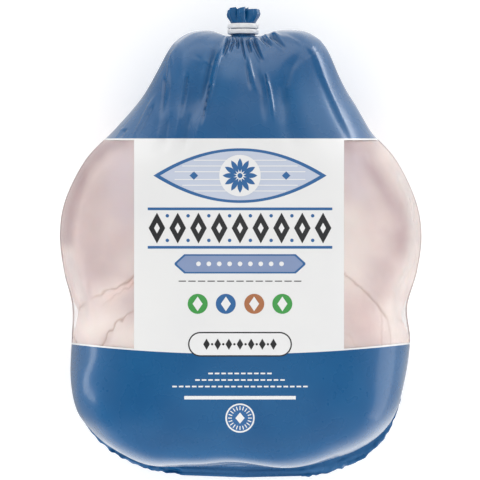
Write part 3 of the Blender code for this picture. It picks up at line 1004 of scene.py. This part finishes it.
def stripTree():
    lengths = {name: strip[name] * mm for name in ("radiusX", "radiusZ", "width", "thickness", "rounding")}
    lengths["rise"] = (strip["width"] + strip["gap"]) * mm
    turns = {name: strip[name] for name in ("startDegrees", "endDegrees", "riseFrom", "riseTo")}
    names = {name: ("Float", value) for name, value in {**lengths, **turns}.items()}
    names.update({"steps": ("Int", strip["steps"]), "material": ("Material", None)})
    tree, identifiers, inputs = newTree("windStrip", names)
    line = addStep(tree, "GeometryNodeCurvePrimitiveLine", settings={"End": (0, 1, 0)})
    path = addStep(tree, "GeometryNodeResampleCurve", {"Curve": line, "Count": inputs["steps"]})
    along = addStep(tree, "GeometryNodeSplineParameter")
    span = calculate(tree, "SUBTRACT", inputs["endDegrees"], inputs["startDegrees"])
    degrees = calculate(tree, "MULTIPLY_ADD", along, span, inputs["startDegrees"])
    angle = calculate(tree, "RADIANS", degrees)
    climb = {"From Min": inputs["riseFrom"], "From Max": inputs["riseTo"], "To Max": inputs["rise"]}
    climb["Value"] = degrees
    place = addStep(tree, "ShaderNodeCombineXYZ", {
        "X": calculate(tree, "MULTIPLY", calculate(tree, "COSINE", angle), inputs["radiusX"]),
        "Y": calculate(tree, "MULTIPLY", calculate(tree, "SINE", angle), inputs["radiusZ"]),
        "Z": addStep(tree, "ShaderNodeMapRange", climb, interpolation_type="SMOOTHSTEP"),
    })
    wound = addStep(tree, "GeometryNodeSetPosition", {"Geometry": path, "Position": place})
    upright = addStep(tree, "GeometryNodeSetCurveNormal", {"Curve": wound}, mode="Z_UP")
    outline = addStep(
        tree, "GeometryNodeCurvePrimitiveQuadrilateral",
        {"Width": inputs["thickness"], "Height": inputs["width"]},
    )
    rounded = addStep(
        tree, "GeometryNodeFilletCurve", {"Curve": outline, "Radius": inputs["rounding"]}, {"Count": 4},
        mode="POLY",
    )
    swept = addStep(
        tree, "GeometryNodeCurveToMesh", {"Curve": upright, "Profile Curve": rounded}, {"Fill Caps": True},
    )
    real = addStep(tree, "GeometryNodeRealizeInstances", {"Geometry": swept})
    finishTree(tree, real, inputs["material"])
    return tree, identifiers


# Runs a node tree on a mesh, or an empty one, and gives back the plain mesh that it makes.
def runTree(name, tree, values, start=None):
    holder = bpy.data.objects.new(name, start or bpy.data.meshes.new(name))
    bpy.context.scene.collection.objects.link(holder)
    modifier = holder.modifiers.new("nodes", "NODES")
    modifier.node_group = tree
    for identifier, value in values.items():
        modifier[identifier] = value
    graph = bpy.context.evaluated_depsgraph_get()
    mesh = bpy.data.meshes.new_from_object(holder.evaluated_get(graph))
    mesh.name = name
    bpy.data.objects.remove(holder)
    return mesh


def buildStrip():
    tree, identifiers = stripTree()
    mesh = runTree("clip_strip", tree, {identifiers["material"]: stripWhite})
    bm = bmesh.new()
    bm.from_mesh(mesh)
    middle = toFrame((bagForm["neck"][0], strip["lowest"] + strip["width"] / 2, bagForm["neck"][1]))
    for vertex in bm.verts:
        x, y, z = vertex.co
        vertex.co = Vector((middle[0] + x, middle[1] + z, middle[2] + y))
    bmesh.ops.remove_doubles(bm, verts=bm.verts, dist=1e-6)
    bmesh.ops.recalc_face_normals(bm, faces=bm.faces)
    bm.to_mesh(mesh)
    bm.free()
    mesh.set_sharp_from_angle(angle=math.radians(strip["sharpDegrees"]))
    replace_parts(newObject("clip_strip", mesh, stripWhite), "clip")


buildStrip()
print("strip wound")


def rowOf(count, spacing, y):
    return [(spacing * (i - (count - 1) / 2), y, 0) for i in range(count)]


def ringOf(count, radius, y):
    turns = [math.tau * i / count for i in range(count)]
    return [(radius * math.cos(turn), y + radius * math.sin(turn), turn) for turn in turns]


# Plain ornament of bands, lozenges and discs stands where the maker's print would be. Sizes are
# millimetres as the camera sees them: shape, ink, layer, half width, half height, places.
ornament = {
    "firstLift": 0.05,
    "layerLift": 0.05,
    "thickness": 0.03,
    "grain": 1.4,
    "roughness": 0.32,
    "inks": {
        "blueInk": ("#2a639c", "#3068a0"),
        "paleInk": ("#c3cbdd", "#c9d1e1"),
        "slateInk": ("#8496bb", "#8a9cc0"),
        "charcoalInk": ("#28282a", "#2e2e30"),
        "greenInk": ("#3f9a48", "#469f4f"),
        "umberInk": ("#ab6c45", "#b1734b"),
        "whiteInk": ("#ececec", "#efefef"),
    },
    "marks": (
        ("lens", "blueInk", 0, 45, 14.2, [(0, 33.5, 0)]),
        ("lens", "paleInk", 1, 41.5, 12.8, [(0, 33.5, 0)]),
        ("bar", "whiteInk", 2, 24, 0.22, [(0, 41.5, 0), (0, 25.5, 0)]),
        ("bar", "whiteInk", 2, 30, 0.22, [(0, 38.5, 0), (0, 28.5, 0)]),
        ("bar", "whiteInk", 2, 34, 0.22, [(0, 35.5, 0), (0, 31.5, 0)]),
        ("disc", "whiteInk", 3, 10.8, 10.8, [(0, 33.5, 0)]),
        ("lens", "blueInk", 4, 3.6, 1.3, ringOf(12, 5.4, 33.5)),
        ("disc", "blueInk", 4, 1.3, 1.3, [(0, 33.5, 0)]),
        ("lozenge", "blueInk", 2, 2.2, 2.2, [(-24, 33.5, 0), (24, 33.5, 0)]),
        ("bar", "blueInk", 0, 48, 0.7, [(0, 16.2, 0), (0, -3.8, 0)]),
        ("lozenge", "charcoalInk", 0, 4.3, 8, rowOf(9, 10.8, 6.2)),
        ("lozenge", "whiteInk", 1, 1.5, 2.8, rowOf(9, 10.8, 6.2)),
        ("disc", "blueInk", 0, 0.9, 0.9, rowOf(8, 10.8, 12.6) + rowOf(8, 10.8, -0.2)),
        ("pointed", "blueInk", 0, 34, 5, [(0, -12.4, 0)]),
        ("pointed", "slateInk", 1, 32.6, 4.2, [(0, -12.4, 0)]),
        ("disc", "whiteInk", 2, 1.2, 1.2, rowOf(9, 5.4, -12.4)),
        ("bar", "charcoalInk", 0, 1.9, 0.25, rowOf(13, 5, -21.4)),
        ("disc", "greenInk", 0, 5.2, 5.2, [(-22, -33.2, 0), (22, -33.2, 0)]),
        ("disc", "blueInk", 0, 5.2, 5.2, [(-7.4, -33.2, 0)]),
        ("disc", "umberInk", 0, 5.2, 5.2, [(7.4, -33.2, 0)]),
        ("lozenge", "whiteInk", 1, 2.6, 3.8, rowOf(4, 14.7, -33.2)),
        ("pill", "charcoalInk", 0, 27, 6.4, [(0, -54.2, 0)]),
        ("pill", "whiteInk", 1, 26.3, 5.7, [(0, -54.2, 0)]),
        ("lozenge", "charcoalInk", 2, 1.7, 2.9, rowOf(7, 5.8, -54.2)),
        ("disc", "charcoalInk", 2, 0.6, 0.6, rowOf(6, 5.8, -54.2)),
        ("bar", "whiteInk", 0, 1.2, 0.4, rowOf(10, 3.4, -69.4)),
        ("bar", "whiteInk", 0, 1.2, 0.4, rowOf(14, 3.4, -72.8)),
        ("bar", "whiteInk", 0, 1.2, 0.4, rowOf(21, 3.4, -76.2)),
        ("bar", "whiteInk", 0, 29, 0.9, [(0, -82, 0)]),
        ("disc", "whiteInk", 0, 7.6, 7.6, [(0, -92.6, 0)]),
        ("disc", "blueInk", 1, 6.8, 6.8, [(0, -92.6, 0)]),
        ("bar", "whiteInk", 2, 1, 0.25, ringOf(20, 5.2, -92.6)),
        ("lozenge", "whiteInk", 2, 2.4, 2.9, [(0, -92.6, 0)]),
    ),
}


# Half the height of a shape at a distance x from its middle.
def halfHeightOf(shape, x, halfWidth, halfHeight):
    share = np.abs(x) / halfWidth
    roundEnd = np.clip(1.0 - (halfWidth - np.abs(x)) / halfHeight, 0, 1)
    factor = {
        "bar": np.ones_like(x),
        "lozenge": 1.0 - share,
        "lens": 1.0 - share**2,
        "disc": np.sqrt(1.0 - share**2),
        "pointed": 1.0 - 0.9 * roundEnd,
        "pill": np.sqrt(1.0 - roundEnd**2),
    }[shape]
    return np.maximum(halfHeight * factor, 0.03)


# One motif as a flat mesh about its own middle.
def motifMesh(shape, halfWidth, halfHeight):
    columns = 2 * max(7, math.ceil(halfWidth / ornament["grain"]))
    rows = 1 + max(2, math.ceil(2 * halfHeight / ornament["grain"]))
    x = halfWidth * np.linspace(-1, 1, columns + 1)
    if shape in ("disc", "pill", "pointed"):
        corner = (halfWidth - halfHeight) * np.array([-1, 1])
        ends = halfWidth - halfHeight * (1.0 - np.sin(np.linspace(0, math.pi / 2, 12)))
        x = np.unique(np.round(np.concatenate([x[np.abs(x) < corner[1]], corner, ends, -ends]), 3))
    across = np.linspace(-1, 1, rows)[:, None] * halfHeightOf(shape, x, halfWidth, halfHeight)
    points = np.stack([np.broadcast_to(x, across.shape), across, 0 * across], -1)
    mesh = gridMesh("motif", points, ring=False)
    mesh.transform(Matrix.Translation(-origin))
    return mesh


# Sets a motif on each place, then drops it along the camera's sight lines onto the film.
def printTree():
    tree, identifiers, inputs = newTree("layPrint", {
        "Geometry": ("Geometry", None), "motif": ("Object", None), "film": ("Object", None),
        "eye": ("Vector", (0, 0, 1)), "lift": ("Float", 0.1 * mm), "material": ("Material", None),
    })
    motif, film = (
        addNode(tree, "GeometryNodeObjectInfo", links={"Object": inputs[name]}).outputs["Geometry"]
        for name in ("motif", "film")
    )
    turn = addStep(tree, "GeometryNodeInputNamedAttribute", settings={"Name": "turn"}, data_type="FLOAT")
    spin = addStep(tree, "ShaderNodeCombineXYZ", {"Z": turn})
    spread = addStep(
        tree, "GeometryNodeInstanceOnPoints",
        {"Points": inputs["Geometry"], "Instance": motif, "Rotation": spin},
    )
    real = addStep(tree, "GeometryNodeRealizeInstances", {"Geometry": spread})
    sight = vectorSum(tree, "SUBTRACT", addStep(tree, "GeometryNodeInputPosition"), inputs["eye"])
    sight = vectorSum(tree, "NORMALIZE", sight)
    hit = addNode(
        tree, "GeometryNodeRaycast", {"Ray Length": 3.0},
        {"Target Geometry": film, "Source Position": inputs["eye"], "Ray Direction": sight},
    ).outputs["Hit Position"]
    back = addStep(
        tree, "ShaderNodeVectorMath", {"Vector": sight, "Scale": inputs["lift"]}, operation="SCALE",
    )
    resting = vectorSum(tree, "SUBTRACT", hit, back)
    laid = addStep(tree, "GeometryNodeSetPosition", {"Geometry": real, "Position": resting})
    finishTree(tree, laid, inputs["material"])
    return tree, identifiers


def joinMeshes(name, meshes):
    bm = bmesh.new()
    for mesh in meshes:
        bm.from_mesh(mesh)
    joined = bpy.data.meshes.new(name)
    bm.to_mesh(joined)
    bm.free()
    return joined


# The marks of one ink become one piece.
def buildPrint():
    tree, identifiers = printTree()
    facing = [filmPieces[name].data for name in ("film_panel", "film_bottom_line", "film_breast_end")]
    target = bpy.data.objects.new("target", joinMeshes("target", facing))
    eye = toFrame((0, 0, camera["height"]))
    for ink, (dark, light) in ornament["inks"].items():
        material = printedFilm(ink, dark, light, ornament["roughness"])
        laid = []
        for shape, markInk, layer, halfWidth, halfHeight, places in ornament["marks"]:
            if markInk != ink:
                continue
            motif = bpy.data.objects.new("motif", motifMesh(shape, halfWidth, halfHeight))
            spots = bpy.data.meshes.new("spots")
            flat = [(x, y, camera["flankHeight"]) for x, y, _ in places]
            spots.from_pydata(toFrame(flat).tolist(), [], [])
            turns = spots.attributes.new("turn", "FLOAT", "POINT")
            turns.data.foreach_set("value", [turn for _, _, turn in places])
            values = {
                "motif": motif, "film": target, "eye": eye.tolist(), "material": material,
                "lift": (ornament["firstLift"] + layer * ornament["layerLift"]) * mm,
            }
            values = {identifiers[name]: value for name, value in values.items()}
            laid.append(runTree("print", tree, values, spots))
            bpy.data.objects.remove(motif)
        name = "print_" + ink
        addFilm(name, joinMeshes(name, laid), material, ornament["thickness"])
    bpy.data.objects.remove(target)


buildPrint()
print("print laid on the film")


# The room is brighter towards one side, and darker to the left and right. Lights: direction,
# distance and height in metres, size, watts. Fills aren't mirrored by the film, cards are only
# mirrored by it.
studio = {
    "brightSide": (0.1, 0.48, -0.88),
    "sky": (-0.35, 0.35, 0.33, 1.15),  # from and to along the bright side, and brightness at each
    "flags": (0.62, 0.98, 1, 0.34),  # from and to sideways, and how much brightness is left at each
    "flagsLean": 0.1,  # how far the flags lean to the left
    "floorGlow": 0.24,
    "floorHalf": 4.0,  # metres
    "lights": {
        "softboxLegs": (92, 0.85, 0.34, (1.3, 0.46), 0.95),
        "cardLegs": (30, 0.36, 0.040, (0.36, 0.07), 0.40),
        "cardRight": (346, 0.32, 0.026, (0.30, 0.13), 0.11),
        "cardLeft": (190, 0.30, 0.022, (0.15, 0.05), 0.045),
        "fillAbove": (0, 0, 1.60, (2, 2), 12.2),
        "fillBreast": (270, 0.80, 0.35, (1.6, 0.6), 5),
        "fillRight": (0, 0.85, 0.35, (1.2, 0.6), 3.6),
        "fillLeft": (180, 0.85, 0.35, (1.2, 0.6), 4.2),
    },
}
studioTarget = Vector((0, 0, 0.05))


def buildFloor():
    mesh = bpy.data.meshes.new("floor")
    half, level = studio["floorHalf"], -0.1 * mm
    corners = [(-half, -half, level), (half, -half, level), (half, half, level), (-half, half, level)]
    mesh.from_pydata(corners, [], [(0, 1, 2, 3)])
    floor = bpy.data.objects.new("floor", mesh)
    bpy.context.scene.collection.objects.link(floor)
    pale = {
        "Base Color": linear("#f7f7f7"), "Roughness": 0.7,
        "Emission Color": linear("#ffffff"), "Emission Strength": studio["floorGlow"],
    }
    mesh.materials.append(finishMaterial(newMaterial("paleFloor")[0], pale))
    floor.visible_glossy = False


def buildWorld():
    world = bpy.data.worlds.new("studio")
    bpy.context.scene.world = world
    world.use_nodes = True
    tree = world.node_tree
    direction = addNode(tree, "ShaderNodeTexCoord").outputs["Generated"]
    along = vectorSum(tree, "DOT_PRODUCT", direction, studio["brightSide"], output=1)
    level = vectorSum(tree, "NORMALIZE", vectorSum(tree, "MULTIPLY", direction, (1, 1, 0)))
    sideways = addStep(tree, "ShaderNodeSeparateXYZ", {"Vector": level})
    leaning = calculate(tree, "SUBTRACT", sideways, studio["flagsLean"])
    strength = calculate(
        tree, "MULTIPLY", rangeOf(tree, along, *studio["sky"], "SMOOTHSTEP"),
        rangeOf(tree, calculate(tree, "ABSOLUTE", leaning), *studio["flags"], "SMOOTHSTEP"),
    )
    background = tree.nodes["Background"]
    background.inputs["Color"].default_value = linear("#ffffff")
    tree.links.new(strength, background.inputs["Strength"])


def buildLights():
    for name, (degrees, distance, height, size, power) in studio["lights"].items():
        data = bpy.data.lights.new(name, "AREA")
        data.shape = "RECTANGLE"
        data.size, data.size_y = size
        data.energy = power
        lamp = bpy.data.objects.new(name, data)
        turn = math.radians(degrees)
        lamp.location = (math.cos(turn) * distance, math.sin(turn) * distance, height)
        lamp.rotation_euler = (studioTarget - lamp.location).to_track_quat("-Z", "Y").to_euler()
        lamp.visible_camera = False
        lamp.visible_glossy = not name.startswith("fill")
        lamp.visible_diffuse = not name.startswith("card")
        bpy.context.scene.collection.objects.link(lamp)


# The camera straight above.
def buildCamera():
    data = bpy.data.cameras.new("camera")
    data.sensor_width = camera["sensor"]
    span = camera["photoWidth"] * camera["pixel"]
    data.lens = camera["sensor"] * (camera["height"] - camera["flankHeight"]) / span
    data.clip_start, data.clip_end = camera["clip"]
    eye = bpy.data.objects.new("camera", data)
    eye.location = toFrame((0, 0, camera["height"]))
    bpy.context.scene.collection.objects.link(eye)
    bpy.context.scene.camera = eye


buildFloor()
buildWorld()
buildLights()
buildCamera()
bpy.context.scene.view_settings.view_transform = "Standard"
print("stage, lights and camera placed")
